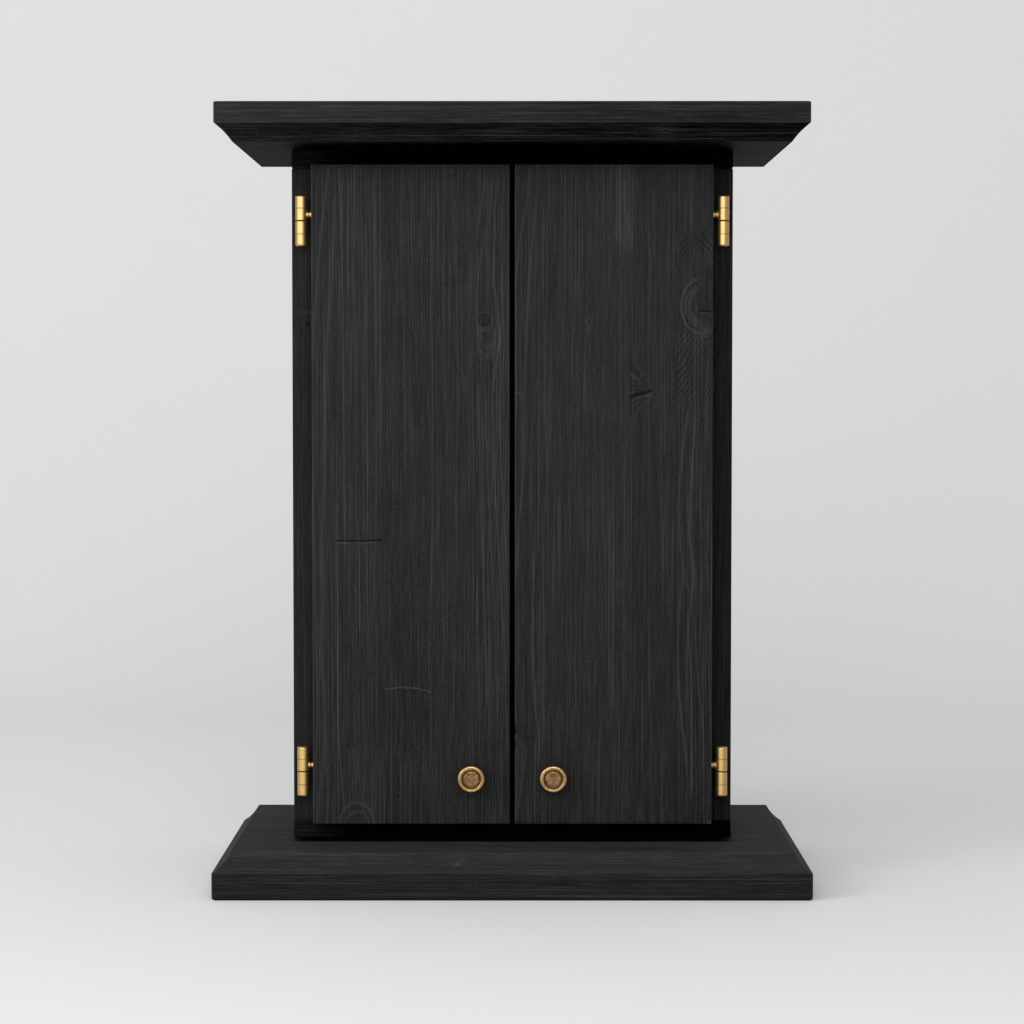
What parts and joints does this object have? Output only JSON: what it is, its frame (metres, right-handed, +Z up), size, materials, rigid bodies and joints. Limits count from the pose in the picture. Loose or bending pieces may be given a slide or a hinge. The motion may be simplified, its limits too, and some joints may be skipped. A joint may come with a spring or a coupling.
{
  "type": "household altar cabinet",
  "caption": "Black-stained wooden altar cabinet: an upright case with hinged doors and turned brass knobs, between a moulded base board and a wide moulded roof board.",
  "frame": {"origin": "on the floor under the middle of the base board", "axes": "+Z up, -Y out of the doors, +X to the right seen from the front; the back is flat at +Y"},
  "size_m": [0.454, 0.25, 0.6],
  "materials": {
    "stained_wood": "black stain, matt to satin, with paler raised grain",
    "hinge_brass": "satin polished",
    "knob_brass": "aged, scratched"
  },
  "bodies": {
    "cabinet": {"base_board": "stained_wood", "roof_board": "stained_wood", "bottom_panel": "stained_wood", "top_panel": "stained_wood", "side_panel_left": "stained_wood", "side_panel_right": "stained_wood", "back_panel": "stained_wood", "hinge_lower_left_frame_half": "hinge_brass", "hinge_upper_left_frame_half": "hinge_brass", "hinge_lower_right_frame_half": "hinge_brass", "hinge_upper_right_frame_half": "hinge_brass"},
    "left_door": {"door_left": "stained_wood", "knob_left": "knob_brass", "hinge_lower_left_door_half": "hinge_brass", "hinge_upper_left_door_half": "hinge_brass"},
    "right_door": {"door_right": "stained_wood", "knob_right": "knob_brass", "hinge_lower_right_door_half": "hinge_brass", "hinge_upper_right_door_half": "hinge_brass"}
  },
  "joints": [
    {"name": "left_door_hinge", "type": "hinge", "parent": "cabinet", "child": "left_door", "pos_m": [-0.1632, -0.0485, 0.3], "axis": [0, 0, -1], "range_deg": [0, 175]},
    {"name": "right_door_hinge", "type": "hinge", "parent": "cabinet", "child": "right_door", "pos_m": [0.1632, -0.0485, 0.3], "axis": [0, 0, 1], "range_deg": [0, 175]}
  ]
}
